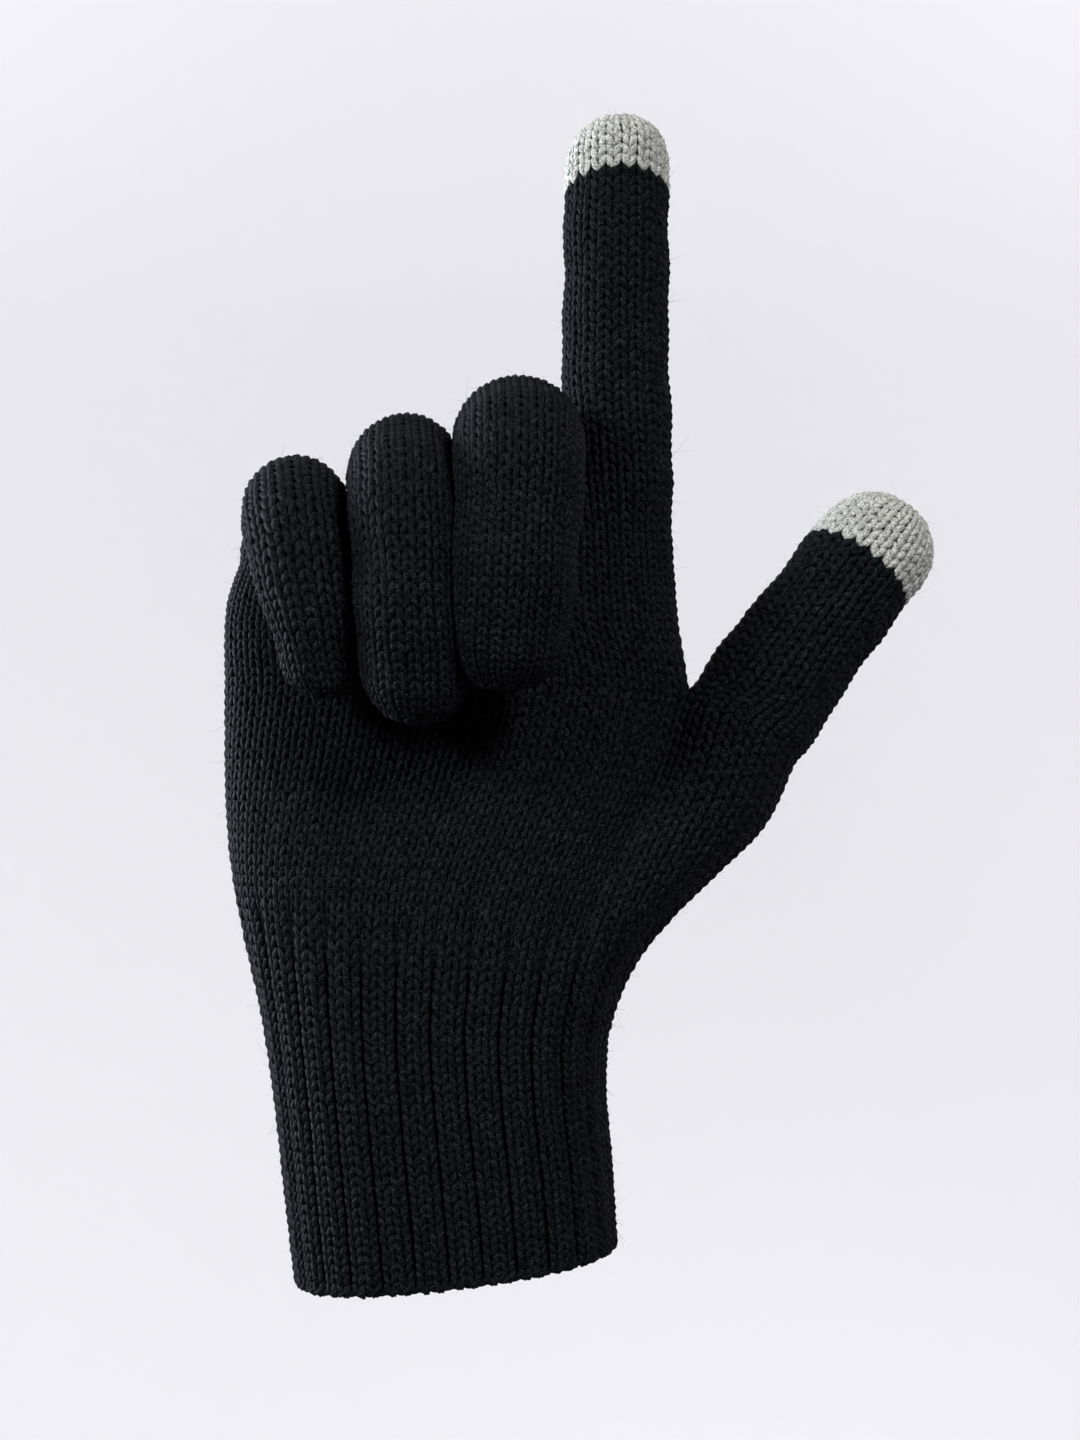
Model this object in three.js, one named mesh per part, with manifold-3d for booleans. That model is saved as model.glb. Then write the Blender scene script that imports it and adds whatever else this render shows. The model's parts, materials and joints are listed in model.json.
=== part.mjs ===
// A knitted right-hand glove with grey touchscreen tips on the index finger and the thumb.
// The hand points with its index finger: thumb out, the other three fingers curled into the palm.
// Millimetres, +Z up. The cuff's rim lies on z = 0 with the opening's centre at the origin,
// +X points to the thumb's side, and the palm faces -Y.
// The knitted tube of each finger is cut into rings that hinge where the fabric bends.
import * as THREE from 'three';
import { mergeVertices } from 'three/addons/utils/BufferGeometryUtils.js';
import Module from 'manifold-3d';

const wasm = await Module();
wasm.setup();

// ---- Driving dimensions -------------------------------------------------------------------------
const WALL = 1.8; // thickness of the plain knit
const RIB_WALL = 2.4; // thickness of the ribbed cuff
const GAP = 0.3; // air between two pieces that touch
const HINGE_GAP = 1.5; // each tube stops this far short of a hinge
const BEND = 31; // degrees bevelled off the palm side at each side of a finger hinge
const SIDES = 16; // facets round a finger
const PALM_SIDES = 28; // facets round the hand and the cuff

const CUFF_TOP = 59;
const WRIST_Z = 66; // height of the wrist's hinge
const HEM_HEIGHT = 3;

// Cross-sections of the cuff: height, half width, half depth and the centre's x
const CUFF_RINGS = [
  { z: 0, a: 31.5, b: 25, x: 0 },
  { z: 20, a: 31.8, b: 24.4, x: -1 },
  { z: 46, a: 33.2, b: 23.4, x: -3 },
  { z: CUFF_TOP, a: 36.5, b: 23, x: -1 },
];

// Cross-sections of the hand above the wrist's hinge: height, left and right edges, half depth
const HAND_RINGS = [
  { z: 7, left: -41, right: 43, b: 22.4 },
  { z: 16, left: -44, right: 51, b: 21.4 },
  { z: 28, left: -45.5, right: 58, b: 20 },
  { z: 42, left: -45.5, right: 54, b: 17.8 },
  { z: 56, left: -45, right: 47.5, b: 15.6 },
  { z: 70, left: -43.5, right: 45, b: 13.8 },
  { z: 85.5, left: -39, right: 43.8, b: 12.6 },
];

// Each finger: root is its first hinge above the wrist's hinge, reach the lengths from hinge to hinge and
// on to the tip, radius the outer radii at those places, flex the bends at rest, lean its direction
// and tip the height of its grey end.
const FINGERS = {
  index: { root: [33.4, 87], reach: [20, 18, 19, 25], radius: [10.2, 10.1, 10, 9.8], flex: [0, 0, 0, 0], lean: 0, tip: 13 },
  middle: { root: [11.6, 87], reach: [22, 20, 20, 25], radius: [10.8, 10.7, 10.6, 10.2], flex: [47, 60, 60, 25], lean: 0 },
  ring: { root: [-10, 87], reach: [20, 19, 19, 25], radius: [10.2, 10.2, 10, 9.7], flex: [54, 58, 58, 25], lean: 0 },
  little: { root: [-30.6, 81], reach: [16, 15, 15, 21], radius: [9.2, 9.2, 9, 8.7], flex: [54, 56, 56, 22], lean: -3 },
};
const YAW = 3; // degrees each finger is turned about its own length
const FINGER_PIECES = ['root', 'knuckle', 'middle', 'tip'];

// The thumb: its hinge, direction and turn about its own length, and lengths and radii as above
const THUMB = {
  root: [63, 54], lean: 38, yaw: -30, reach: [24, 23], radius: [12.8, 12.2, 11.6], tip: 15, rootBack: 42,
};

const PALM_FROM = 37; // height above the wrist's hinge where the heel of the hand ends and the palm starts
const FINGERS_FROM = 83.5; // height above it where the inside of the hand parts into the fingers
// The thumb's gusset starts at a line up the hand, through this point and leaning by degrees
const THUMB_SEAM = { x: 46, z: 56, lean: 16 };
const FAR = 200; // further than any piece reaches

const ELASTIC_HEIGHTS = [12, 28, 44];
const ELASTIC_THICK = 0.9;

// ---- Materials ----------------------------------------------------------------------------------
const blackYarn = new THREE.MeshStandardMaterial({ color: 0x0d0e13, roughness: 0.95, metalness: 0 });
const greyYarn = new THREE.MeshStandardMaterial({ color: 0xb4b5ae, roughness: 0.9, metalness: 0 });
const elasticYarn = new THREE.MeshStandardMaterial({ color: 0x18181a, roughness: 0.6, metalness: 0 });

// ---- Solids -------------------------------------------------------------------------------------
function solid(geometry) {
  const bare = geometry.index ? geometry.toNonIndexed() : geometry.clone();
  bare.deleteAttribute('normal');
  bare.deleteAttribute('uv');
  const merged = mergeVertices(bare, 1e-4);
  return new wasm.Manifold(new wasm.Mesh({
    numProp: 3,
    vertProperties: merged.attributes.position.array,
    triVerts: new Uint32Array(merged.index.array),
  }));
}

function geometryOf(made) {
  const mesh = made.getMesh();
  const geometry = new THREE.BufferGeometry();
  geometry.setAttribute('position', new THREE.BufferAttribute(mesh.vertProperties, 3));
  geometry.setIndex(new THREE.BufferAttribute(mesh.triVerts, 1));
  return geometry;
}

function meshOf(name, made, material) {
  const mesh = new THREE.Mesh(geometryOf(made), material);
  mesh.name = name;
  return mesh;
}

// A cone or cylinder along Z from low to high
function round(lowRadius, highRadius, low, high) {
  const geometry = new THREE.CylinderGeometry(highRadius, lowRadius, high - low, SIDES);
  geometry.rotateX(Math.PI / 2);
  geometry.translate(0, 0, (low + high) / 2);
  return solid(geometry);
}

function block(low, high) {
  const size = high.map((value, i) => value - low[i]);
  const geometry = new THREE.BoxGeometry(...size);
  geometry.translate(...low.map((value, i) => value + size[i] / 2));
  return solid(geometry);
}

// Everything on the low side of a plane that tips up by degrees towards the palm, through height z
function below(z, degrees, reach) {
  const geometry = new THREE.BoxGeometry(2 * reach, 2 * reach, 2 * reach);
  geometry.translate(0, 0, -reach);
  geometry.rotateX(-THREE.MathUtils.degToRad(degrees));
  geometry.translate(0, 0, z);
  return solid(geometry);
}

function above(z, degrees, reach) {
  const geometry = new THREE.BoxGeometry(2 * reach, 2 * reach, 2 * reach);
  geometry.translate(0, 0, reach);
  geometry.rotateX(THREE.MathUtils.degToRad(degrees));
  geometry.translate(0, 0, z);
  return solid(geometry);
}

// A closed loft through oval rings { z, x, a, b }, each a superellipse with half width a and half depth b
function loft(rings, sides = PALM_SIDES, power = 2.3) {
  const points = [];
  const faces = [];
  for (const { z, x, a, b } of rings) {
    for (let i = 0; i < sides; i++) {
      const angle = (2 * Math.PI * i) / sides;
      const c = Math.cos(angle);
      const s = Math.sin(angle);
      points.push(x + a * Math.sign(c) * Math.abs(c) ** (2 / power), b * Math.sign(s) * Math.abs(s) ** (2 / power), z);
    }
  }
  for (let k = 0; k + 1 < rings.length; k++) {
    for (let i = 0; i < sides; i++) {
      const j = (i + 1) % sides;
      const [p, q, r, s] = [k * sides + i, k * sides + j, (k + 1) * sides + j, (k + 1) * sides + i];
      faces.push(p, q, r, p, r, s);
    }
  }
  const first = rings[0];
  const last = rings[rings.length - 1];
  const bottom = points.length / 3;
  points.push(first.x, 0, first.z, last.x, 0, last.z);
  const top = (rings.length - 1) * sides;
  for (let i = 0; i < sides; i++) {
    const j = (i + 1) % sides;
    faces.push(bottom, j, i, bottom + 1, top + i, top + j);
  }
  const geometry = new THREE.BufferGeometry();
  geometry.setAttribute('position', new THREE.Float32BufferAttribute(points, 3));
  geometry.setIndex(faces);
  return solid(geometry);
}

const shrink = (rings, by) => rings.map((ring) => ({ ...ring, a: ring.a - by, b: ring.b - by }));

// The same rings with the first and last carried on by some length, to cut right through
function carriedOn(rings, low, high) {
  const first = rings[0];
  const last = rings[rings.length - 1];
  return [{ ...first, z: first.z - low }, ...rings, { ...last, z: last.z + high }];
}

// A ring of the loft at any height, between the two given rings that hold it
function ringAt(rings, z) {
  const k = Math.max(1, rings.findIndex((ring) => ring.z >= z));
  const [low, high] = [rings[k - 1], rings[k]];
  const t = (z - low.z) / (high.z - low.z);
  const mix = (key) => low[key] + t * (high[key] - low[key]);
  return { z, x: mix('x'), a: mix('a'), b: mix('b') };
}

// ---- Finger pieces ------------------------------------------------------------------------------
// The shell that closes the back of a bent joint: part of a ball about the hinge, inside the tube before it
function knuckleShell(radius) {
  const outer = radius - WALL - 0.5;
  const inner = outer - 1.1;
  const ball = (r) => solid(new THREE.SphereGeometry(r, 14, 10).rotateX(Math.PI / 2));
  const zone = block([-radius, -0.15 * radius, -0.56 * outer], [radius, radius, HINGE_GAP + 0.9]);
  const collarZone = block([-2 * radius, -0.15 * radius, -radius], [2 * radius, 2 * radius, 2 * radius]);
  const collar = round(radius, radius, HINGE_GAP, HINGE_GAP + 1.4).subtract(round(inner, inner, 0, 2 * HINGE_GAP + 1.4));
  return ball(outer).subtract(ball(inner)).intersect(zone).add(collar.intersect(collarZone));
}

// A ring of finger from this hinge to the next one, open at both ends
function fingerTube(lowRadius, highRadius, length) {
  const high = length - HINGE_GAP;
  return round(lowRadius, highRadius, HINGE_GAP, high)
    .subtract(round(lowRadius - WALL, highRadius - WALL, HINGE_GAP - 1, high + 1))
    .subtract(below(HINGE_GAP, BEND, 60))
    .subtract(above(high, BEND, 60))
    .add(knuckleShell(lowRadius));
}

// Half the profile of a finger's rounded end, from a straight wall at height low to the axis at height top
function domeProfile(lowRadius, highRadius, low, top, steps = 6) {
  const bend = top - highRadius * 1.05;
  const points = [new THREE.Vector2(lowRadius, low)];
  for (let i = 0; i <= steps; i++) {
    const angle = (Math.PI / 2) * (i / steps);
    points.push(new THREE.Vector2(i === steps ? 0 : highRadius * Math.cos(angle), bend + (top - bend) * Math.sin(angle)));
  }
  return points;
}

function dome(lowRadius, highRadius, low, top) {
  const profile = [new THREE.Vector2(0, low), ...domeProfile(lowRadius, highRadius, low, top)];
  return solid(new THREE.LatheGeometry(profile, SIDES).rotateX(Math.PI / 2));
}

// The whole end of a finger past its last hinge, hollow and closed at the top
function fingerEnd(lowRadius, highRadius, length) {
  return dome(lowRadius, highRadius, HINGE_GAP, length)
    .subtract(dome(lowRadius - WALL, highRadius - WALL, HINGE_GAP - 1, length - WALL))
    .subtract(below(HINGE_GAP, BEND, 60))
    .add(knuckleShell(lowRadius));
}

// A finger's end in two yarns: the black tube below and the grey touch tip above
function addFingerEnd(holder, name, lowRadius, highRadius, length, tipHeight) {
  const whole = fingerEnd(lowRadius, highRadius, length);
  if (!tipHeight) {
    holder.add(meshOf(`${name}_tip`, whole, blackYarn));
    return;
  }
  const line = length - tipHeight;
  const reach = 3 * length;
  const lower = block([-reach, -reach, -reach], [reach, reach, line - GAP]);
  const upper = block([-reach, -reach, line], [reach, reach, reach]);
  holder.add(meshOf(`${name}_end`, whole.intersect(lower), blackYarn));
  holder.add(meshOf(`${name}_touch_tip`, whole.intersect(upper), greyYarn));
}

// A group that turns about its own X axis: a finger hinge, bent at rest by degrees
function hinge(parent, name, height, degrees) {
  const pivot = new THREE.Group();
  pivot.name = name;
  pivot.position.set(0, 0, height);
  pivot.rotation.x = THREE.MathUtils.degToRad(degrees);
  parent.add(pivot);
  return pivot;
}

function addFinger(hand, name, { root, reach, radius, flex, lean, tip }) {
  const base = new THREE.Group();
  base.position.set(root[0], 0, root[1]);
  base.rotation.set(0, THREE.MathUtils.degToRad(lean), THREE.MathUtils.degToRad(YAW), 'YXZ');
  hand.add(base);
  let holder = base;
  FINGER_PIECES.forEach((piece, k) => {
    holder = hinge(holder, `${name}_${piece}_hinge`, k ? reach[k - 1] : 0, flex[k]);
    if (piece === 'tip') addFingerEnd(holder, name, radius[k], radius[k], reach[k], tip);
    else holder.add(meshOf(`${name}_${piece}`, fingerTube(radius[k], radius[k + 1], reach[k]), blackYarn));
  });
}

function addThumb(hand) {
  const base = new THREE.Group();
  base.position.set(THUMB.root[0], 0, THUMB.root[1]);
  base.rotation.set(0, THREE.MathUtils.degToRad(THUMB.lean), THREE.MathUtils.degToRad(THUMB.yaw), 'YXZ');
  hand.add(base);
  const root = hinge(base, 'thumb_root_hinge', 0, 0);
  root.add(meshOf('thumb_root', fingerTube(THUMB.radius[0], THUMB.radius[1], THUMB.reach[0]), blackYarn));
  const end = hinge(root, 'thumb_tip_hinge', THUMB.reach[0], 0);
  addFingerEnd(end, 'thumb', THUMB.radius[1], THUMB.radius[2], THUMB.reach[1], THUMB.tip);
}

// ---- The hand and the cuff ----------------------------------------------------------------------
// The stretch of thumb that belongs to the hand: a tube, bevelled as a finger's end before its hinge is
function thumbRootIn(radius, high) {
  const made = geometryOf(round(radius + 0.8, radius, -THUMB.rootBack, high));
  const place = new THREE.Group();
  place.position.set(THUMB.root[0], 0, THUMB.root[1]);
  place.rotation.set(0, THREE.MathUtils.degToRad(THUMB.lean), THREE.MathUtils.degToRad(THUMB.yaw), 'YXZ');
  place.updateMatrixWorld(true);
  return { made: solid(made.applyMatrix4(place.matrixWorld)), matrix: place.matrixWorld };
}

function handSolid() {
  const rings = HAND_RINGS.map(({ z, left, right, b }) => ({ z, x: (left + right) / 2, a: (right - left) / 2, b }));
  const root = thumbRootIn(THUMB.radius[0], -HINGE_GAP);
  const thumbBevel = solid(geometryOf(above(-HINGE_GAP, BEND, 30)).applyMatrix4(root.matrix));
  const outer = loft(rings).add(root.made.subtract(thumbBevel));
  const low = HAND_RINGS[0].z;
  let inner = loft(carriedOn(shrink(rings, WALL), 5, 0)).intersect(block([-FAR, -FAR, -FAR], [FAR, FAR, FINGERS_FROM]));
  const thumbHollow = thumbRootIn(THUMB.radius[0] - WALL, 10).made;
  inner = inner.add(thumbHollow.intersect(block([0, -FAR, low + WALL], [FAR, FAR, FAR])));
  for (const { root: [x, z], radius: [r] } of Object.values(FINGERS)) {
    inner = inner.add(round(r - WALL, r - WALL, PALM_FROM + 13, FAR).translate(x, 0, z - FINGERS.index.root[1]));
  }
  const tops = Object.values(FINGERS).map(({ root: [x, z], radius: [r], lean }) => {
    const bevel = above(-HINGE_GAP, BEND, 40).intersect(block([-r - 1, -FAR, -FAR], [r + 0.6, FAR, FAR]));
    const path = round(r + GAP, r + GAP, -HINGE_GAP, 30);
    const cut = geometryOf(bevel.add(path));
    return solid(cut.rotateY(THREE.MathUtils.degToRad(lean)).translate(x, 0, z));
  });
  return tops.reduce((left, top) => left.subtract(top), outer.subtract(inner));
}

// The hand in three pieces: the heel round the wrist, the palm up to the fingers and the thumb's gusset
function handPieces() {
  const whole = handSolid();
  const reach = FAR;
  const besideSeam = (side) => {
    const geometry = new THREE.BoxGeometry(reach, reach, 2 * reach);
    geometry.translate(side * (reach / 2 + GAP / 2), 0, 0);
    geometry.rotateY(THREE.MathUtils.degToRad(THUMB_SEAM.lean));
    return solid(geometry.translate(THUMB_SEAM.x, 0, THUMB_SEAM.z));
  };
  const fingersSide = whole.intersect(besideSeam(-1));
  return {
    hand_heel: fingersSide.intersect(block([-reach, -reach, -reach], [reach, reach, PALM_FROM - GAP / 2])),
    hand_palm: fingersSide.intersect(block([-reach, -reach, PALM_FROM + GAP / 2], [reach, reach, reach])),
    thumb_gusset: whole.intersect(besideSeam(1)),
  };
}

function cuffSolid() {
  const rings = [ringAt(CUFF_RINGS, HEM_HEIGHT + GAP), ...CUFF_RINGS.slice(1)];
  return loft(rings).subtract(loft(carriedOn(shrink(rings, RIB_WALL), 1, 1)));
}

function hemSolid() {
  const rings = [CUFF_RINGS[0], ringAt(CUFF_RINGS, HEM_HEIGHT)];
  return loft(shrink(rings, -0.3)).subtract(loft(carriedOn(shrink(rings, RIB_WALL + 0.3), 1, 1)));
}

// A thread of elastic laid round the inside of the rib
function elasticSolid(height) {
  const at = ringAt(CUFF_RINGS, height);
  const rings = [{ ...at, z: height }, { ...at, z: height + ELASTIC_THICK }];
  const outer = shrink(rings, RIB_WALL + GAP);
  return loft(outer).subtract(loft(carriedOn(shrink(outer, ELASTIC_THICK), 1, 1)));
}

const glove = new THREE.Group();
glove.add(meshOf('cuff_hem', hemSolid(), blackYarn));
glove.add(meshOf('cuff_rib', cuffSolid(), blackYarn));
ELASTIC_HEIGHTS.forEach((height, i) => glove.add(meshOf(`cuff_elastic_${i + 1}`, elasticSolid(height), elasticYarn)));

const hand = new THREE.Group();
hand.name = 'wrist_hinge';
hand.position.set(0, 0, WRIST_Z);
glove.add(hand);
for (const [name, made] of Object.entries(handPieces())) hand.add(meshOf(name, made, blackYarn));
for (const [name, finger] of Object.entries(FINGERS)) addFinger(hand, name, finger);
addThumb(hand);

export default glove;
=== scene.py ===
"""The looks of a knitted right-hand glove: every stitch is a pair of yarn legs laid on the hand's surface.

Lengths inside the knitting code are millimetres; meshes are made in metres. A surface is a function of
wales (u, counted round a tube from its little-finger side, over the palm) and courses (v, counted upwards).
"""
import json
import math

import bpy
import numpy as np
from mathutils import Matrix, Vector

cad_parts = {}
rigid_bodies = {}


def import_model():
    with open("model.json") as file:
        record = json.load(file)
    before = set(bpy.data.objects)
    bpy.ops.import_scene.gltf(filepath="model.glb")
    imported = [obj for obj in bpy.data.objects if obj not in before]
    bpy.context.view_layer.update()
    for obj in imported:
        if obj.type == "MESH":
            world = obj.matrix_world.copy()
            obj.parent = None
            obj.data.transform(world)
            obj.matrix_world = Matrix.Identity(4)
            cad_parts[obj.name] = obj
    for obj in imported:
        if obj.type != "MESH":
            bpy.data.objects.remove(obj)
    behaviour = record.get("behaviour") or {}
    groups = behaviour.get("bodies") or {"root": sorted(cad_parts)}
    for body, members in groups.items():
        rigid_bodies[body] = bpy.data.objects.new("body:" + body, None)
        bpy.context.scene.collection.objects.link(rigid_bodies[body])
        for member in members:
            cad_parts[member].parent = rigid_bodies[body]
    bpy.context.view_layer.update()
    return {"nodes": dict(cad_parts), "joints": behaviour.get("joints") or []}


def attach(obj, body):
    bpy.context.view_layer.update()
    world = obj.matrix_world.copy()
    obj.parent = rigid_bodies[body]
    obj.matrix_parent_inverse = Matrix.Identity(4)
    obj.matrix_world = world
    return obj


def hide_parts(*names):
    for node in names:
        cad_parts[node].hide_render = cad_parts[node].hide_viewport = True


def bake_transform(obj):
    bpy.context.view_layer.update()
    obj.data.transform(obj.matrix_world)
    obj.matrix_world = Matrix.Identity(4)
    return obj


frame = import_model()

MM = 0.001
RANDOM = np.random.default_rng(7)

# ---- Camera -------------------------------------------------------------------------------------
VIEW_DISTANCE = 0.50
VIEW_CENTRE = (0.0166, 0.114)  # x and z that the camera looks at
VIEW_HEIGHT = 0.288  # height of the picture at the middle of the hand
SENSOR = 36

camera = bpy.data.objects.new("camera", bpy.data.cameras.new("camera"))
bpy.context.scene.collection.objects.link(camera)
camera.location = (VIEW_CENTRE[0], -VIEW_DISTANCE, VIEW_CENTRE[1])
camera.rotation_euler = (math.radians(90), 0, 0)
camera.data.sensor_width = SENSOR
camera.data.lens = SENSOR * VIEW_DISTANCE / VIEW_HEIGHT
bpy.context.scene.camera = camera

# ---- Small maths --------------------------------------------------------------------------------


def smooth(t):
    t = np.clip(t, 0, 1)
    return t * t * (3 - 2 * t)


def unit(vectors):
    return vectors / np.maximum(np.linalg.norm(vectors, axis=-1, keepdims=True), 1e-9)


def curve(knots, values, at):
    """A smooth curve through (knots, values), sampled at at; values may be points."""
    knots = np.asarray(knots, float)
    values = np.asarray(values, float)
    slopes = np.gradient(values, knots, axis=0)
    k = np.clip(np.searchsorted(knots, at) - 1, 0, len(knots) - 2)
    span = knots[k + 1] - knots[k]
    t = (at - knots[k]) / span
    if values.ndim > 1:
        t, span = t[..., None], span[..., None]
    low = values[k] * (1 + 2 * t) * (1 - t) ** 2 + values[k + 1] * t * t * (3 - 2 * t)
    return low + span * (slopes[k] * t * (1 - t) ** 2 - slopes[k + 1] * t * t * (1 - t))


def rotate(points, centre, axis, angle):
    """Turns each point by its own angle about one axis through centre."""
    arm = points - centre
    c, s = np.cos(angle)[..., None], np.sin(angle)[..., None]
    along = (arm @ axis)[..., None] * axis
    return centre + along + (arm - along) * c + np.cross(axis, arm) * s


def table_surface(table, per_wale, per_course, closed=True):
    """A surface function that samples a table of points [course, wale], carried on straight past its ends."""
    rows, columns = table.shape[:2]

    def surface(u, v):
        x = np.asarray(u, float) * per_wale
        y = np.asarray(v, float) * per_course
        if closed:
            x = np.mod(x, columns - 1)
        i = np.clip(np.floor(x).astype(int), 0, columns - 2)
        k = np.clip(np.floor(y).astype(int), 0, rows - 2)
        a, b = (x - i)[..., None], (y - k)[..., None]
        low = table[k, i] * (1 - a) + table[k, i + 1] * a
        high = table[k + 1, i] * (1 - a) + table[k + 1, i + 1] * a
        return low * (1 - b) + high * b

    return surface


# ---- The hand's surface below the thumb's crotch ------------------------------------------------
HAND_WALES = 84  # 28 ribs of two knit wales and one sunk purl wale
HALF = HAND_WALES // 2
THUMB_WALE = 33  # wales on the palm between the little finger's side and the thumb's crotch
HAND_COURSES = 57
RIB_COURSES = 33
COURSE = 1.75
CROTCH_AT = 0.81  # place of the thumb's crotch along the top course, from 0 at the left to 1

# Heights up the hand as shares of the courses, with the left and right edges of the hand as (x, z)
SHARE = [0, 0.17, 0.35, 0.47, 0.57, 0.67, 0.78, 0.89, 1]
LEFT = [(-31.2, 2.8), (-33.3, 21), (-35.8, 42.5), (-38.1, 57), (-40.9, 69), (-44, 82), (-45.4, 95),
        (-45.7, 108),
        (-45.7, 121)]
RIGHT = [(31, 10), (30, 26), (28.8, 43), (29.9, 54), (34.6, 65.5), (43.2, 75.4), (52.6, 84.6), (61.2, 93.4),
         (66.8, 105)]
DEPTH = [24.6, 24.2, 23.4, 22.8, 22.4, 21.4, 20.0, 18.2, 16.0]
BACK_DEPTH = 0.92  # the back of the hand is a little flatter than the palm
THUMB_DEPTH = 13.2
WEB_DEPTH = 6


def half_section(share, depth, lobes):
    """Front outline of the hand at one height as depths over s from 0 at the left edge to 1 at the right."""
    s = np.linspace(0, 1, 401)
    oval = depth * (1 - np.abs(2 * s - 1) ** 2.3) ** (1 / 2.3)
    palm = 1 - ((s - CROTCH_AT / 2) / (CROTCH_AT / 2)) ** 2
    thumb = 1 - ((s - (1 + CROTCH_AT) / 2) / ((1 - CROTCH_AT) / 2)) ** 2
    palm = depth * np.sqrt(np.maximum(palm, 0)) ** 0.9
    thumb = THUMB_DEPTH * np.sqrt(np.maximum(thumb, 0))
    web = WEB_DEPTH * np.exp(-(((s - CROTCH_AT) / 0.07) ** 2))
    two = (palm ** 4 + thumb ** 4 + web ** 4) ** 0.25
    return s, (1 - lobes) * oval + lobes * two


def hand_table():
    shares = np.linspace(0, 1, 2 * HAND_COURSES + 1)
    left, right = curve(SHARE, LEFT, shares), curve(SHARE, RIGHT, shares)
    depths = curve(SHARE, DEPTH, shares)
    wales = np.linspace(0, HALF, 4 * HALF + 1)
    rows = []
    for share, low, high, depth in zip(shares, left, right, depths):
        lobes = float(smooth((share - 0.5) / 0.5))
        s, d = half_section(share, depth, lobes)
        x = low[0] + (high[0] - low[0]) * s
        fall = s ** (1 + 7 * lobes)
        z = low[1] + (high[1] - low[1]) * fall
        arc = np.concatenate([[0], np.cumsum(np.hypot(np.hypot(np.diff(x), np.diff(d)), np.diff(z)))])
        crotch = (1 - lobes) * arc[-1] * THUMB_WALE / HALF + lobes * np.interp(CROTCH_AT, s, arc)
        place = np.interp(np.interp(wales, [0, THUMB_WALE, HALF], [0, crotch, arc[-1]]), arc, s)
        px, pd, pz = np.interp(place, s, x), np.interp(place, s, d), np.interp(place, s, z)
        front = np.stack([px, -pd, pz], -1)
        back = np.stack([px, pd * BACK_DEPTH, pz], -1)[::-1]
        rows.append(np.concatenate([front, back[1:]]))
    return np.array(rows)


hand_smooth = table_surface(hand_table(), 4, 2)
RIB_VALLEY = 0.3  # width of the sunk purl wale between two ribs, in wales
RIB_DEEP = 0.45
RIB_ROUND = 0.5


def hand_surface(u, v):
    """The hand with the cuff's ribs: the purl wales sink and narrow, and fade out over the last courses."""
    u, v = np.broadcast_arrays(np.asarray(u, float), np.asarray(v, float))
    ribs = 1 - smooth((v - RIB_COURSES + 2) / 8)
    place = np.mod(u, 3)
    knit = (3 - RIB_VALLEY) / 2
    narrow = np.where(place < 2, place * knit, 2 * knit + (place - 2) * RIB_VALLEY)
    warped = u - place + ribs * narrow + (1 - ribs) * place
    relief = (RIB_ROUND * np.sin(np.pi * np.clip(place / 2, 0, 1))
              - RIB_DEEP * np.sin(np.pi * np.clip(place - 2, 0, 1)))
    around = hand_smooth(warped + 0.2, v) - hand_smooth(warped - 0.2, v)
    along = hand_smooth(warped, v + 0.3) - hand_smooth(warped, v - 0.3)
    out = unit(np.cross(around, along))
    return hand_smooth(warped, v) + out * (relief * ribs)[..., None]


# ---- The palm above the thumb's crotch ----------------------------------------------------------
PALM_WALES = 70
PALM_HALF = PALM_WALES // 2
PALM_COURSES = 17
PALM_LEFT = [(-46, 121), (-45.4, 136), (-42.5, 146)]
PALM_RIGHT = [(45, 121), (43.4, 136), (42.4, 151)]
PALM_DEPTH = [16.0, 13.9, 12.4]
CROTCH_WALES = 4
CROTCH_SAG = (0, 0, -1.5)  # how far the web in the thumb's crotch hangs down at its middle


def web(start, end, t, lift):
    """A short web of fabric from start to end, raised by lift in its middle."""
    t = np.asarray(t, float)[..., None]
    return start * (1 - t) + end * t + 4 * t * (1 - t) * np.asarray(lift, float)


def palm_base(u):
    """The row where the palm goes on above the thumb: the hand's last row, closed by the crotch's web."""
    u = np.mod(u, PALM_WALES)
    last = THUMB_WALE + CROTCH_WALES
    on_hand = np.where(u <= THUMB_WALE, u, np.maximum(u, last) + HAND_WALES - PALM_WALES)
    row = hand_surface(on_hand, HAND_COURSES)
    across = web(hand_surface(THUMB_WALE, HAND_COURSES), hand_surface(HAND_WALES - THUMB_WALE, HAND_COURSES),
                 (u - THUMB_WALE) / CROTCH_WALES, CROTCH_SAG)
    return np.where(((u > THUMB_WALE) & (u < last))[..., None], across, row)


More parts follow.
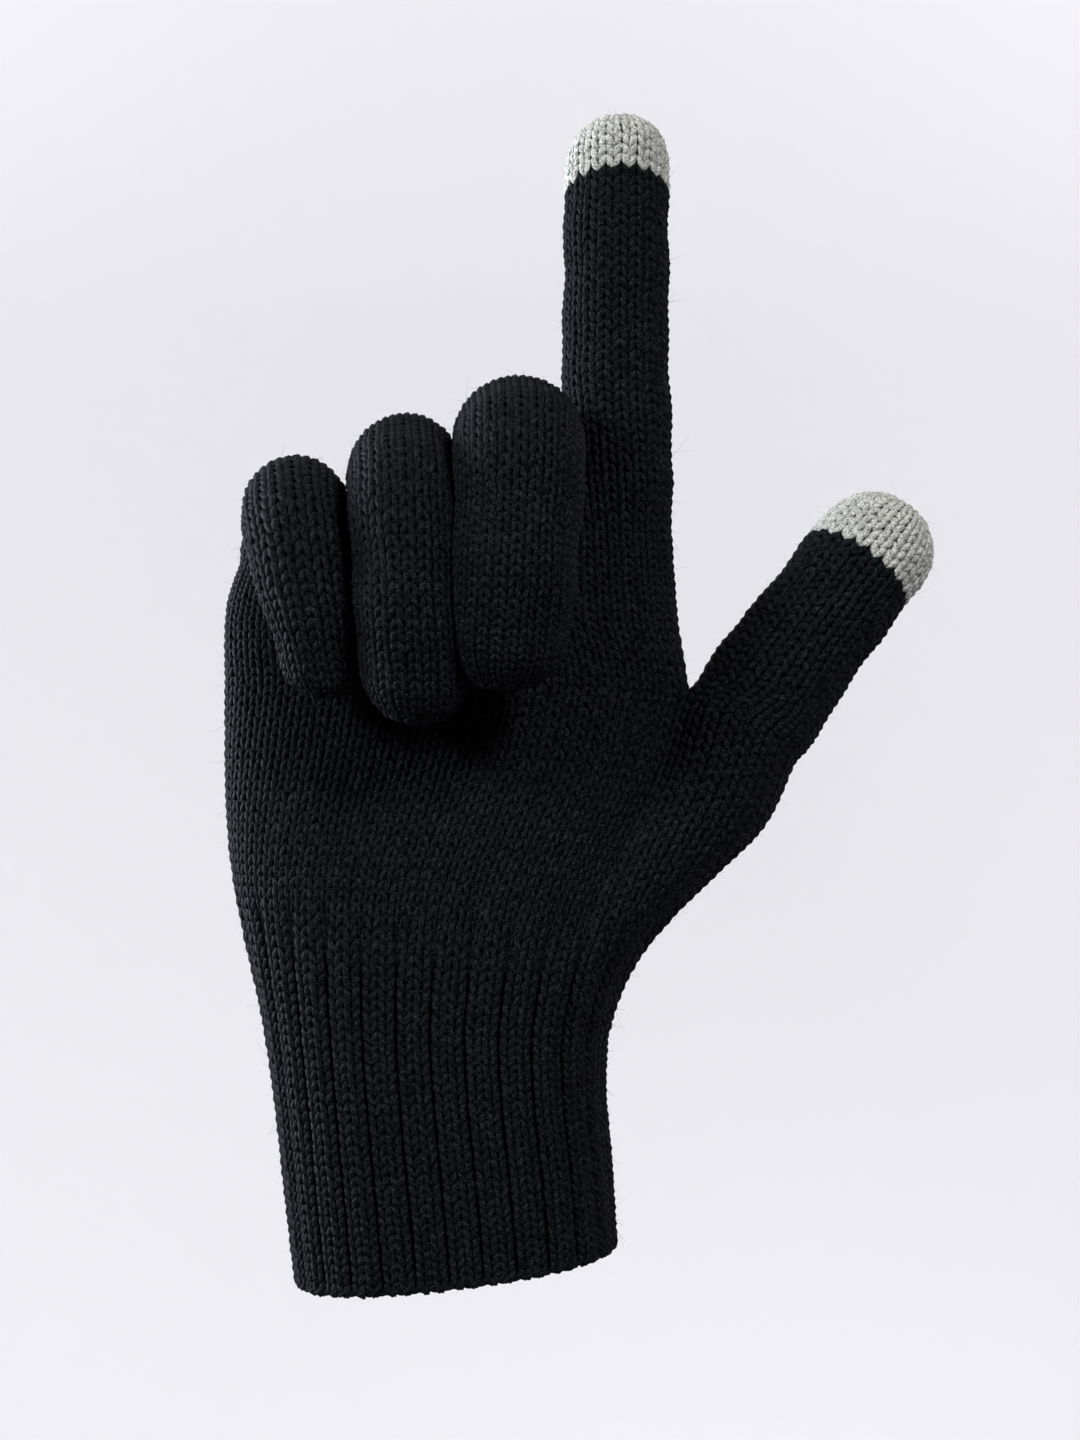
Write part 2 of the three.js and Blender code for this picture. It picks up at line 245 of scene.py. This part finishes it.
def palm_table():
    shares = np.linspace(0, 1, 2 * PALM_COURSES + 1)
    knots = [0, 0.5, 1]
    left, right = curve(knots, PALM_LEFT, shares), curve(knots, PALM_RIGHT, shares)
    depths = curve(knots, PALM_DEPTH, shares)
    wales = np.linspace(0, PALM_HALF, 4 * PALM_HALF + 1)
    base = palm_base(np.linspace(0, PALM_WALES, 4 * PALM_WALES + 1) % PALM_WALES)
    rows = []
    for share, low, high, depth in zip(shares, left, right, depths):
        s = np.linspace(0, 1, 401)
        d = depth * (1 - np.abs(2 * s - 1) ** 2.4) ** (1 / 2.4)
        x = low[0] + (high[0] - low[0]) * s
        z = low[1] + (high[1] - low[1]) * smooth(s / 0.45)
        arc = np.concatenate([[0], np.cumsum(np.hypot(np.diff(x), np.diff(d)))])
        place = np.interp(wales / PALM_HALF * arc[-1], arc, s)
        px, pd, pz = np.interp(place, s, x), np.interp(place, s, d), np.interp(place, s, z)
        front = np.stack([px, -pd, pz], -1)
        back = np.stack([px, pd * BACK_DEPTH, pz], -1)[::-1]
        tube = np.concatenate([front, back[1:]])
        turn = smooth(share * PALM_COURSES / 7)
        rise = np.array([0, 0, share * PALM_COURSES * COURSE])
        rows.append(tube * turn + (base + rise) * (1 - turn))
    return np.array(rows)


palm_surface = table_surface(palm_table(), 4, 2)


# ---- Fingers ------------------------------------------------------------------------------------
PIECES = ("root", "knuckle", "middle", "tip")
# Each finger: the palm's wales it takes up at the front, the wales it gains in the crotch at its left and
# right, its radii at its root, two knuckles and tip, how far its end goes past its last hinge, its bends
# at rest, where its knuckle and its tip have settled to (x, z) off the hinges' line, how far its courses
# arch and how high they are
FINGERS = {
    "little": dict(front=(0, 8), gains=(0, 2), radii=(9.6, 9.7, 9.4, 7.4), end=16.5, bends=(54, 56, 56, 22),
                   settled=((-0.6, -1.6), (4.6, -2)), arch=1.2, course=1.8, grey=None),
    "ring": dict(front=(8, 17), gains=(2, 2), radii=(10.2, 10.1, 10.0, 9.7), end=23, bends=(54, 58, 58, 25),
                 settled=((-0.6, -2.2), (2.0, -2.6)), arch=1.2, course=1.75, grey=None),
    "middle": dict(front=(17, 26), gains=(4, 4), radii=(11.0, 11.9, 11.5, 10.8), end=23,
                   bends=(47, 60, 60, 25), settled=((0, 0), (-3.4, 0)), arch=1.2, course=1.55, grey=None),
    "index": dict(front=(26, 35), gains=(2, 0), radii=(9.7, 10, 9.8, 9.7), end=23.1, bends=(0, 0, 0, 0),
                  settled=((-1.3, 0), (-1.3, 0)), arch=4.2, course=1.9, grey=19),
}
BASE_BELOW = 2  # the fingers' rows start this far below their first hinge
MORPH_REACH = 11.7  # a finger turns from its base row into a round tube over this length
DOME_FULL = 0.8  # under 1 makes a finger's end fuller than a half ball
WRINKLE = 0.16
BEND_REACH = 12.5  # a bend at rest is spread this far to each side of its hinge

joints = {(j["parent"], j["child"]): j for j in frame["joints"]}


def joint_of(child):
    found = next(j for j in frame["joints"] if j["child"] == child)
    return np.array(found["pos_m"]) / MM, unit(np.array(found["axis"], float))


class Tube:
    """A finger or thumb: a base row of fabric that turns into a round tube, closed by a dome, then bent."""

    def __init__(self, wales, base, root, direction, side, radii, length, hinges, axis, bends, course, start,
                 settled, arch):
        self.wales, self.base, self.root = wales, base, root
        self.direction, self.side = direction, side
        self.front = np.cross(side, direction)
        self.radii, self.length = radii, length
        self.radius_at = np.linspace(0, length - radii[-1], len(radii))
        self.settled, self.arch = settled, arch
        self.hinges, self.axis, self.bends = hinges, axis, np.radians(bends)
        self.course, self.start = course, start
        self.dome_from = length - radii[-1]
        dome = radii[-1] * math.pi / 2
        self.courses = (self.dome_from + start + dome) / course

    def reach(self, v):
        """Distance along the straight tube, and radius, of course v."""
        path = np.asarray(v, float) * self.course - self.start
        past = np.clip((path - self.dome_from) / self.radii[-1], 0, math.pi / 2)
        radius = curve(self.radius_at, self.radii, np.clip(path, 0, self.dome_from))
        along = np.minimum(path, self.dome_from) + self.radii[-1] * np.sin(past)
        return along, radius * np.maximum(np.cos(past), 0.02) ** DOME_FULL

    def straight(self, u, v):
        along, radius = self.reach(v)
        angle = 2 * np.pi * np.asarray(u, float) / self.wales
        arch = self.arch * np.maximum(np.sin(angle), 0) * (radius / self.radii[-1]) ** 2
        along = along + arch * smooth(np.asarray(v) / self.courses)
        wrinkle = np.sin(1.3 * along / 3 + 2 * np.cos(angle)) + np.sin(0.23 * along + angle)
        radius = radius + WRINKLE * wrinkle
        tube = (self.root + self.direction * along[..., None]
                - self.side * (radius * np.cos(angle))[..., None]
                + self.front * (radius * np.sin(angle))[..., None])
        turn = smooth(np.asarray(v, float) * self.course / MORPH_REACH)[..., None]
        low = self.base(u) + self.direction * (np.asarray(v, float) * self.course)[..., None]
        return low * (1 - turn) + tube * turn

    def bend(self, points):
        """Bends straight points at every hinge, the outermost first."""
        along = (points - self.root) @ self.direction
        place = self.hinges
        for k in reversed(range(len(place))):
            low = -self.start if k == 0 else place[k] - BEND_REACH
            high = place[k] + (16 if k == 0 else BEND_REACH)
            angle = self.bends[k] * smooth((along - low) / (high - low))
            points = rotate(points, self.root + self.direction * place[k], self.axis, angle)
        (x1, z1), (x2, z2) = self.settled
        knots = (-self.start, place[1], self.length)
        offsets = curve(knots, [(0, 0, 0), (x1, 0, z1), (x2, 0, z2)], np.clip(along, knots[0], knots[-1]))
        return points + offsets

    def __call__(self, u, v):
        u, v = np.broadcast_arrays(np.asarray(u, float), np.asarray(v, float))
        return self.bend(self.straight(u, v))

    def centre(self, along):
        """Where the middle of the tube is at rest, some way along it, as a point in metres."""
        return Vector(self.bend(self.root + self.direction * np.array([float(along)])[:, None])[0] * MM)

    def course_at(self, along):
        return (along + self.start) / self.course


def finger_tube(name, front, gains, radii, end, bends, settled, arch, course, grey):
    low, high = front
    wales = sum(gains) + 2 * (high - low)
    lead = gains[0] / 2
    turn = lead + high - low

    def base(u):
        u = np.mod(np.asarray(u, float) + lead, wales) - lead
        on_front = low + u - lead
        on_back = PALM_WALES - high + (u - turn - gains[1])
        row = palm_surface(np.where(u <= turn, on_front, on_back), PALM_COURSES)
        points = [palm_surface(np.array(q), PALM_COURSES) for q in
                  (PALM_WALES - low, low, high, PALM_WALES - high)]
        rise = (0, 0, 2.0)
        left = web(points[0], points[1], (u + lead) / max(gains[0], 1), rise)
        right = web(points[2], points[3], (u - turn) / max(gains[1], 1), rise)
        row = np.where(((u < lead) & (gains[0] > 0))[..., None], left, row)
        return np.where(((u > turn) & (u < turn + gains[1]))[..., None], right, row)

    places = [joint_of(f"{name}_{piece}")[0] for piece in PIECES]
    axis = joint_of(f"{name}_root")[1]
    reach = [np.linalg.norm(b - a) for a, b in zip(places, places[1:])]
    first = unit(places[1] - places[0])
    direction = rotate(first[None], np.zeros(3), axis, np.array([-math.radians(bends[0])]))[0]
    hinges = np.concatenate([[0], np.cumsum(reach)])
    return Tube(wales, base, places[0], direction, axis, radii, hinges[-1] + end, hinges, axis, bends,
                course, BASE_BELOW, settled, arch)


THUMB_WALES = 22
THUMB_COURSE = 1.9
THUMB_RADII = (12.5, 11.5, 11.4)
THUMB_END = 20.6
THUMB_GREY = 21
THUMB_SETTLED = ((-1.4, 0.4), (-1.0, 0.6))
THUMB_ARCH = 4.4
THUMB_BELOW = 12


def thumb_tube():
    (root, axis), (tip, _) = joint_of("thumb_root"), joint_of("thumb_tip")
    direction = unit(tip - root)
    side = unit(np.cross(np.array([0, 1.0, 0]), direction))
    half = CROTCH_WALES / 2

    def base(u):
        u = np.mod(np.asarray(u, float) + half, THUMB_WALES) - half
        row = hand_surface(THUMB_WALE + np.maximum(u - half, 0), HAND_COURSES)
        across = web(hand_surface(HAND_WALES - THUMB_WALE, HAND_COURSES),
                     hand_surface(THUMB_WALE, HAND_COURSES), (u + half) / CROTCH_WALES, CROTCH_SAG)
        return np.where((u < half)[..., None], across, row)

    hinges = np.array([0, np.linalg.norm(tip - root)])
    return Tube(THUMB_WALES, base, root, direction, side, THUMB_RADII, hinges[1] + THUMB_END, hinges, axis,
                (0, 0), THUMB_COURSE, THUMB_BELOW, THUMB_SETTLED, THUMB_ARCH)


tubes = {name: finger_tube(name, **facts) for name, facts in FINGERS.items()}
thumb = thumb_tube()

# ---- Yarn ---------------------------------------------------------------------------------------
LEG_STEPS = 5
LEG_SIDES = 5
LEG_IN, LEG_OUT = 0.09, 0.4  # how far from the wale's middle a leg's lower and upper ends are, in wales
LEG_LOW, LEG_HIGH = -0.5, 1.25  # where a leg starts and ends, in courses
LEG_SUNK, LEG_PROUD = -0.75, 0.3  # height of the yarn's middle at its ends and at its crest
LEG_WIDE = 0.255  # half width of a leg, in wales
LEG_THICK = 0.62


class Cloth:
    """Collects the vertices and faces of one knitted piece."""

    def __init__(self):
        self.points, self.faces, self.count = [], {}, 0

    def add(self, points, *face_sets):
        points = points.reshape(-1, 3)
        self.points.append(points)
        for faces in face_sets:
            faces = faces.reshape(-1, faces.shape[-1]) + self.count
            self.faces.setdefault(faces.shape[-1], []).append(faces)
        self.count += len(points)

    def object(self, name, material):
        points = np.concatenate(self.points) * MM
        sets = [np.concatenate(found) for _, found in sorted(self.faces.items())]
        sizes = np.concatenate([np.full(len(s), s.shape[1]) for s in sets])
        loops = np.concatenate([s.ravel() for s in sets])
        mesh = bpy.data.meshes.new(name)
        mesh.vertices.add(len(points))
        mesh.vertices.foreach_set("co", points.astype(np.float32).ravel())
        mesh.loops.add(len(loops))
        mesh.loops.foreach_set("vertex_index", loops.astype(np.int32))
        mesh.polygons.add(len(sizes))
        mesh.polygons.foreach_set("loop_start", np.concatenate([[0], np.cumsum(sizes)[:-1]]).astype(np.int32))
        mesh.update(calc_edges=True)
        mesh.shade_smooth()
        mesh.materials.append(material)
        made = bpy.data.objects.new(name, mesh)
        bpy.context.scene.collection.objects.link(made)
        return made


def frames(surface, u, v):
    """Points on the surface, outward normals and the width of one wale there."""
    around = surface(u + 0.12, v) - surface(u - 0.12, v)
    along = surface(u, v + 0.12) - surface(u, v - 0.12)
    width = np.linalg.norm(around, axis=-1) / 0.24
    return surface(u, v), unit(np.cross(around, along)), width


def swept(path, normal, wide, thick, sides):
    """Rings of points round paths [piece, step]; the rings are ovals wide across and thick along normal."""
    tangent = unit(np.gradient(path, axis=1))
    across = unit(np.cross(normal, tangent))
    up = np.cross(tangent, across)
    angle = 2 * np.pi * np.arange(sides) / sides
    ring = (across[:, :, None] * (wide[..., None] * np.cos(angle))[..., None]
            + up[:, :, None] * (thick[..., None] * np.sin(angle))[..., None])
    return path[:, :, None] + ring


def swept_faces(count, steps, sides):
    """Faces for swept rings: the sides as quads, then both ends."""
    index = np.arange(count * steps * sides).reshape(count, steps, sides)
    after = np.roll(index, -1, 2)
    quads = np.stack([index[:, :-1], after[:, :-1], after[:, 1:], index[:, 1:]], -1)
    ends = np.concatenate([index[:, 0, ::-1], index[:, -1]])
    return quads, ends


def knit(cloth, surface, u, v, wales=1.0):
    """Adds a stitch, two yarn legs in a V, at each wale's middle u and course v."""
    u, v = np.asarray(u, float).ravel(), np.asarray(v, float).ravel()
    if not len(u):
        return
    t = np.linspace(0, 1, LEG_STEPS)
    for side in (-1, 1):
        shake = RANDOM.normal(0, 1, (4, len(u), 1))
        a = u[:, None] + side * wales * (LEG_IN + (LEG_OUT - LEG_IN) * smooth(t)) + 0.02 * shake[0]
        b = v[:, None] + LEG_LOW + (LEG_HIGH - LEG_LOW) * t + 0.04 * shake[1]
        point, normal, width = frames(surface, a, b)
        crest = np.sin(np.pi * (0.04 + 0.92 * t)) ** 0.75
        size = np.clip(width * wales / 3.1, 0.35, 1.25)
        height = (LEG_SUNK + (LEG_PROUD - LEG_SUNK) * crest + 0.05 * shake[2]) * np.minimum(size, 1)
        wide = LEG_WIDE * wales * width * (0.42 + 0.58 * crest) * (1 + 0.06 * shake[3])
        thick = LEG_THICK * np.minimum(size, 1) * (0.55 + 0.45 * crest)
        path = point + normal * height[..., None]
        rings = swept(path, normal, wide, thick, LEG_SIDES)
        cloth.add(rings, *swept_faces(len(u), LEG_STEPS, LEG_SIDES))


BACKING_OUT, BACKING_IN = -0.55, -1.35


def backing(cloth, surface, u0, u1, v0, v1, closed, capped=False):
    """Adds the fabric's body behind the stitches: a thin closed sheet over a range of wales and courses."""
    columns = int(round(u1 - u0)) * 2
    rows = max(2, int(round(v1 - v0)) + 1)
    u = u0 + (u1 - u0) * np.arange(columns + (0 if closed else 1)) / columns
    v = np.linspace(v0, v1, rows)
    grid_u, grid_v = np.meshgrid(u, v)
    point, normal, width = frames(surface, grid_u, grid_v)
    scale = np.minimum(width / 3.1, 1)[..., None] if capped else 1
    layers = np.stack([point + normal * BACKING_OUT * scale, point + normal * BACKING_IN * scale])
    index = np.arange(layers[..., 0].size).reshape(layers.shape[:3])
    if closed:
        index = np.concatenate([index, index[:, :, :1]], 2)
    outer, inner = index
    faces = [np.stack([outer[:-1, :-1], outer[:-1, 1:], outer[1:, 1:], outer[1:, :-1]], -1),
             np.stack([inner[:-1, :-1], inner[1:, :-1], inner[1:, 1:], inner[:-1, 1:]], -1),
             np.stack([outer[0, :-1], inner[0, :-1], inner[0, 1:], outer[0, 1:]], -1),
             np.stack([outer[-1, :-1], outer[-1, 1:], inner[-1, 1:], inner[-1, :-1]], -1)]
    if not closed:
        faces.append(np.stack([outer[:-1, 0], outer[1:, 0], inner[1:, 0], inner[:-1, 0]], -1))
        faces.append(np.stack([outer[:-1, -1], inner[:-1, -1], inner[1:, -1], outer[1:, -1]], -1))
    cloth.add(layers, *[f.reshape(-1, 4) for f in faces])


FUZZ_STEPS = 4
FUZZ_SIDES = 3
FUZZ_THICK = 0.026


def fuzz(cloth, surface, u0, u1, v0, v1, density):
    """Adds loose fibres that stand off the yarn."""
    count = int((u1 - u0) * (v1 - v0) * density)
    if count < 1:
        return
    u = RANDOM.uniform(u0, u1, count)
    v = RANDOM.uniform(v0, v1, count)
    point, normal, _ = frames(surface, u, v)
    heading = unit(np.cross(normal, RANDOM.normal(0, 1, (count, 3))))
    length = RANDOM.gamma(2.2, 0.4, count)[:, None, None] + 0.3
    t = np.linspace(0, 1, FUZZ_STEPS)[None, :, None]
    lean = RANDOM.uniform(0.3, 1.3, count)[:, None, None]
    curl = RANDOM.normal(0, 0.5, (count, 1, 3))
    path = (point + normal * 0.3)[:, None] + length * (
        normal[:, None] * t * 0.8 + heading[:, None] * lean * t ** 1.4 + curl * t ** 2)
    thick = FUZZ_THICK * np.broadcast_to(1 - 0.6 * t[..., 0], path.shape[:2])
    facing = np.broadcast_to(heading[:, None], path.shape) + normal[:, None] * 0.3
    rings = swept(path, facing, thick, thick, FUZZ_SIDES)
    cloth.add(rings, *swept_faces(count, FUZZ_STEPS, FUZZ_SIDES))


# ---- Materials ----------------------------------------------------------------------------------
def yarn_material(name, dark, light, painted_highlight, sheen, roughness, shine):
    """Matt spun yarn: fine fibres over thicker strands and painted highlight specks in the colour, fibres in
    the bump.
    """
    material = bpy.data.materials.new(name)
    material.use_nodes = True
    nodes, links = material.node_tree.nodes, material.node_tree.links
    shader = nodes["Principled BSDF"]
    shader.inputs["Roughness"].default_value = roughness
    shader.inputs["Specular IOR Level"].default_value = shine
    shader.inputs["Sheen Weight"].default_value = sheen
    shader.inputs["Sheen Roughness"].default_value = 0.45
    place = nodes.new("ShaderNodeTexCoord")
    fibres = nodes.new("ShaderNodeTexNoise")
    fibres.inputs["Scale"].default_value = 2900
    fibres.inputs["Detail"].default_value = 3
    strands = nodes.new("ShaderNodeTexNoise")
    strands.inputs["Scale"].default_value = 520
    strands.inputs["Detail"].default_value = 2
    halved = nodes.new("ShaderNodeMath")
    halved.operation = "MULTIPLY"
    halved.inputs[1].default_value = 0.15
    mix = nodes.new("ShaderNodeMath")
    mix.operation = "MULTIPLY_ADD"
    mix.inputs[1].default_value = 0.85
    ramp = nodes.new("ShaderNodeValToRGB")
    ramp.color_ramp.elements[0].position = 0.34
    ramp.color_ramp.elements[0].color = (*dark, 1)
    ramp.color_ramp.elements[1].position = 0.52
    ramp.color_ramp.elements[1].color = (*light, 1)
    # The third stop paints sparse bright specks of highlight, as from lit fibres, into the colour.
    ramp.color_ramp.elements.new(0.68).color = (*painted_highlight, 1)
    bump = nodes.new("ShaderNodeBump")
    bump.inputs["Strength"].default_value = 0.8
    bump.inputs["Distance"].default_value = 0.00025
    links.new(place.outputs["Object"], fibres.inputs["Vector"])
    links.new(place.outputs["Object"], strands.inputs["Vector"])
    links.new(strands.outputs["Fac"], halved.inputs[0])
    links.new(fibres.outputs["Fac"], mix.inputs[0])
    links.new(halved.outputs[0], mix.inputs[2])
    links.new(mix.outputs[0], ramp.inputs["Fac"])
    links.new(ramp.outputs["Color"], shader.inputs["Base Color"])
    links.new(fibres.outputs["Fac"], bump.inputs["Height"])
    links.new(bump.outputs["Normal"], shader.inputs["Normal"])
    return material


# The third colour of each material is the painted highlight of those specks.
black = yarn_material("black_knit", (0.0002, 0.00022, 0.00035), (0.0029, 0.0031, 0.004),
                      (0.014, 0.0145, 0.017), 0.001,
                      0.5, 0.01)
grey = yarn_material("grey_knit", (0.055, 0.055, 0.051), (0.215, 0.217, 0.2),
                     (0.36, 0.36, 0.342), 0.03, 0.85, 0.15)
elastic = yarn_material("elastic_yarn", (0.01, 0.01, 0.011), (0.03, 0.03, 0.032),
                        (0.05, 0.05, 0.052), 0.05, 0.6, 0.2)

# ---- Knitted pieces -----------------------------------------------------------------------------
FUZZ_DENSITY = 0.5


def place_piece(made, replaced, bodies, start=None, end=None):
    if start is None:
        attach(made, bodies[0])
    else:
        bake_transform(made)
    if replaced:
        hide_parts(*replaced)


def stitches(wales, v0, v1, first=0):
    """Middles of all stitches over a range of courses, as flat arrays."""
    u, v = np.meshgrid(np.arange(first, first + wales) + 0.5, np.arange(v0, v1))
    return u.ravel(), v.ravel().astype(float)


CUFF_TOP = 28
WRIST_TOP = 39
WRIST_START, WRIST_END = (0, 0, 0.055), (0, 0, 0.077)


def hand_piece(name, v0, v1, wales=HAND_WALES, surface=hand_surface):
    cloth = Cloth()
    u, v = stitches(wales, v0, v1)
    if surface is hand_surface:
        shown = (np.floor(u) % 3 < 2) | (v > RIB_COURSES - 2)  # the sunk wales of the ribs turn their backs
        u, v = u[shown], v[shown]
    knit(cloth, surface, u, v)
    backing(cloth, surface, 0, wales, max(v0, 0.1) if surface is hand_surface else v0, v1, True)
    fuzz(cloth, surface, 0, wales, v0, v1, FUZZ_DENSITY)
    return cloth.object(name, black)


HEM_YARN = 0.62  # radius of the cast-on edge's yarn


def hem_piece():
    """The cast-on edge: a plied cord round the cuff's rim."""
    cloth = Cloth()
    steps = HAND_WALES * 6
    u = np.arange(steps)[None] * HAND_WALES / steps
    strands = 2
    for k in range(strands):
        twist = 2 * np.pi * (u / 3 * 2 + k / strands)
        point, normal, _ = frames(hand_surface, u, np.full_like(u, 0.05) + 0.22 * np.sin(twist))
        path = point + normal * (-0.1 + 0.35 * np.cos(twist))[..., None]
        tangent = unit(np.roll(path, -1, 1) - np.roll(path, 1, 1))
        across = unit(np.cross(normal, tangent))
        up = np.cross(tangent, across)
        angle = 2 * np.pi * np.arange(LEG_SIDES) / LEG_SIDES
        spokes = across[:, :, None] * np.cos(angle)[:, None] + up[:, :, None] * np.sin(angle)[:, None]
        rings = path[:, :, None] + HEM_YARN * spokes
        index = np.arange(steps * LEG_SIDES).reshape(steps, LEG_SIDES)
        right, above = np.roll(index, -1, 1), np.roll(index, -1, 0)
        cloth.add(rings, np.stack([index, right, np.roll(above, -1, 1), above], -1).reshape(-1, 4))
    return cloth.object("cuff_cast_on", black)


FLAP_REACH = 9.75
FLAP_FROM, FLAP_TO = 0.04, 0.46  # share of the way round a finger, across its palm side


def flap(cloth, tube, v0, v1):
    """Carries a curled finger's palm side on past its end, under its neighbour."""
    low, high = round(FLAP_FROM * tube.wales), round(FLAP_TO * tube.wales)
    u, v = np.meshgrid(np.arange(low, high) + 0.5, np.arange(math.ceil(v0), v1))
    knit(cloth, tube, u, v)
    backing(cloth, tube, low, high, v0, v1, False)


def tube_piece(name, tube, v0, v1, material):
    """A stretch of finger. Where the tube closes, wales are knitted together two and then four at a time."""
    cloth = Cloth()
    top = v1 >= tube.courses
    v1 = min(v1, tube.courses)
    if tube.bends.any():
        flap(cloth, tube, v0 - FLAP_REACH / tube.course, v0)
        if not top:
            flap(cloth, tube, v1, v1 + FLAP_REACH / tube.course)
    rows = np.arange(math.ceil(v0), v1)
    rows = rows[(rows >= 0) & (rows < v1 - (0.9 if top else 0))]
    _, radius = tube.reach(rows + 0.4)
    share = radius / tube.radii[-1]
    for low, high, together in ((0.62, 9, 1), (0.3, 0.62, 2), (-1, 0.3, 4)):
        chosen = rows[(share > low) & (share <= high)]
        u, v = np.meshgrid(np.arange(0, tube.wales, together) + together / 2, chosen)
        knit(cloth, tube, u, v, float(together))
    backing(cloth, tube, 0, tube.wales, max(v0, -0.5), v1 - (0.25 if top else 0), True, capped=top)
    fuzz(cloth, tube, 0, tube.wales, v0, v1 - (1 if top else 0), FUZZ_DENSITY)
    return cloth.object(name, material)


place_piece(hand_piece("cuff_ribbing", 0, CUFF_TOP), ["cuff_rib"], ("cuff", "hand"),
            WRIST_START, WRIST_END)
place_piece(hem_piece(), ["cuff_hem"], ("cuff",))
place_piece(hand_piece("wrist_knit", CUFF_TOP, WRIST_TOP), None, ("cuff", "hand"),
            WRIST_START, WRIST_END)
place_piece(hand_piece("palm_knit", WRIST_TOP, HAND_COURSES),
            ["hand_heel", "hand_palm", "thumb_gusset"], ("hand",))
place_piece(hand_piece("upper_palm_knit", 0, PALM_COURSES, PALM_WALES, palm_surface),
            None, ("hand",))

MARGIN = 0.5
for name, tube in tubes.items():
    facts = FINGERS[name]
    h = tube.hinges
    splits = [-tube.start, 0.6 * h[1], (h[1] + h[2]) / 2, (h[2] + h[3]) / 2, tube.length]
    names = ("hand",) + tuple(f"{name}_{piece}" for piece in PIECES)
    for k, piece in enumerate(PIECES):
        low, high = splits[k], splits[k + 1]
        zone_end = min(high - MARGIN, h[3] + 9) if k == 3 else high - MARGIN
        start = tube.centre(low + (MARGIN if k else 0))
        end = tube.centre(zone_end)
        last = k == 3
        v0 = tube.course_at(low)
        v1 = tube.courses + 1 if last else tube.course_at(high)
        if last and facts["grey"]:
            line = round(tube.courses - facts["grey"] / tube.course)
            made = tube_piece(f"{name}_end_knit", tube, v0, line, black)
            place_piece(made, [f"{name}_end"], names[k:k + 2], start, end)
            made = tube_piece(f"{name}_touch_knit", tube, line, v1, grey)
            place_piece(made, [f"{name}_touch_tip"], (names[4],))
            continue
        made = tube_piece(f"{name}_{piece}_knit", tube, v0, v1, black)
        place_piece(made, [f"{name}_{piece}"], names[k:k + 2], start, end)

split = thumb.hinges[1] * 0.55
place_piece(tube_piece("thumb_root_knit", thumb, 0, thumb.course_at(split), black),
            ["thumb_root"], ("hand", "thumb_root"), thumb.centre(-9), thumb.centre(split - MARGIN))
line = round(thumb.courses - THUMB_GREY / thumb.course)
place_piece(tube_piece("thumb_end_knit", thumb, thumb.course_at(split), line, black),
            ["thumb_end"], ("thumb_root", "thumb_tip"),
            thumb.centre(split + MARGIN), thumb.centre(thumb.hinges[1] + 7))
place_piece(tube_piece("thumb_touch_knit", thumb, line, thumb.courses + 1, grey),
            ["thumb_touch_tip"], ("thumb_tip",))

for node in ("cuff_elastic_1", "cuff_elastic_2", "cuff_elastic_3"):
    frame["nodes"][node].data.materials.clear()
    frame["nodes"][node].data.materials.append(elastic)

# ---- Floor, backdrop and light ------------------------------------------------------------------
FLOOR_Z = -0.45
BACK_Y = 2.2
SWEEP = 1.0


def backdrop():
    """A seamless pale sheet: a floor that sweeps up behind the glove."""
    steps = 24
    profile = [(-2.5, FLOOR_Z), (BACK_Y - SWEEP, FLOOR_Z)]
    for k in range(1, steps + 1):
        angle = math.pi / 2 * k / steps
        profile.append((BACK_Y - SWEEP + SWEEP * math.sin(angle), FLOOR_Z + SWEEP * (1 - math.cos(angle))))
    profile.append((BACK_Y, 3))
    points = [(x, y, z) for y, z in profile for x in (-4, 4)]
    faces = [(2 * k, 2 * k + 1, 2 * k + 3, 2 * k + 2) for k in range(len(profile) - 1)]
    mesh = bpy.data.meshes.new("backdrop")
    mesh.from_pydata(points, [], faces)
    mesh.shade_smooth()
    material = bpy.data.materials.new("backdrop")
    material.use_nodes = True
    shader = material.node_tree.nodes["Principled BSDF"]
    shader.inputs["Base Color"].default_value = (0.8, 0.795, 0.825, 1)
    shader.inputs["Roughness"].default_value = 1
    shader.inputs["Specular IOR Level"].default_value = 0
    mesh.materials.append(material)
    made = bpy.data.objects.new("backdrop", mesh)
    bpy.context.scene.collection.objects.link(made)


def area_light(name, place, target, size, power, colour=(1, 1, 1), spread=180):
    lamp = bpy.data.lights.new(name, "AREA")
    lamp.shape = "SQUARE"
    lamp.size = size
    lamp.energy = power
    lamp.color = colour
    lamp.spread = math.radians(spread)
    made = bpy.data.objects.new(name, lamp)
    made.location = place
    made.rotation_euler = (Vector(target) - Vector(place)).to_track_quat("-Z", "Y").to_euler()
    bpy.context.scene.collection.objects.link(made)


backdrop()
MIDDLE = (0.01, 0, 0.12)
area_light("key", (-0.8, -0.7, 0.6), MIDDLE, 0.3, 2.7, (0.95, 0.97, 1), 60)
area_light("edge", (-0.75, 0.25, 0.2), MIDDLE, 0.3, 5, (0.86, 0.91, 1), 70)
area_light("fill", (0.5, -0.8, 0.8), MIDDLE, 0.25, 2.3, (1, 1, 1), 60)
area_light("back left", (-1.3, 0.9, 1.6), (-0.6, 2.2, 0.1), 1.2, 27)
area_light("back right", (1.3, 0.9, 1.6), (0.6, 2.2, 0.1), 1.2, 27)
world = bpy.data.worlds.new("studio")
world.use_nodes = True
world.node_tree.nodes["Background"].inputs["Color"].default_value = (0.95, 0.95, 1, 1)
world.node_tree.nodes["Background"].inputs["Strength"].default_value = 0.13
bpy.context.scene.world = world
bpy.context.scene.view_settings.view_transform = "Standard"
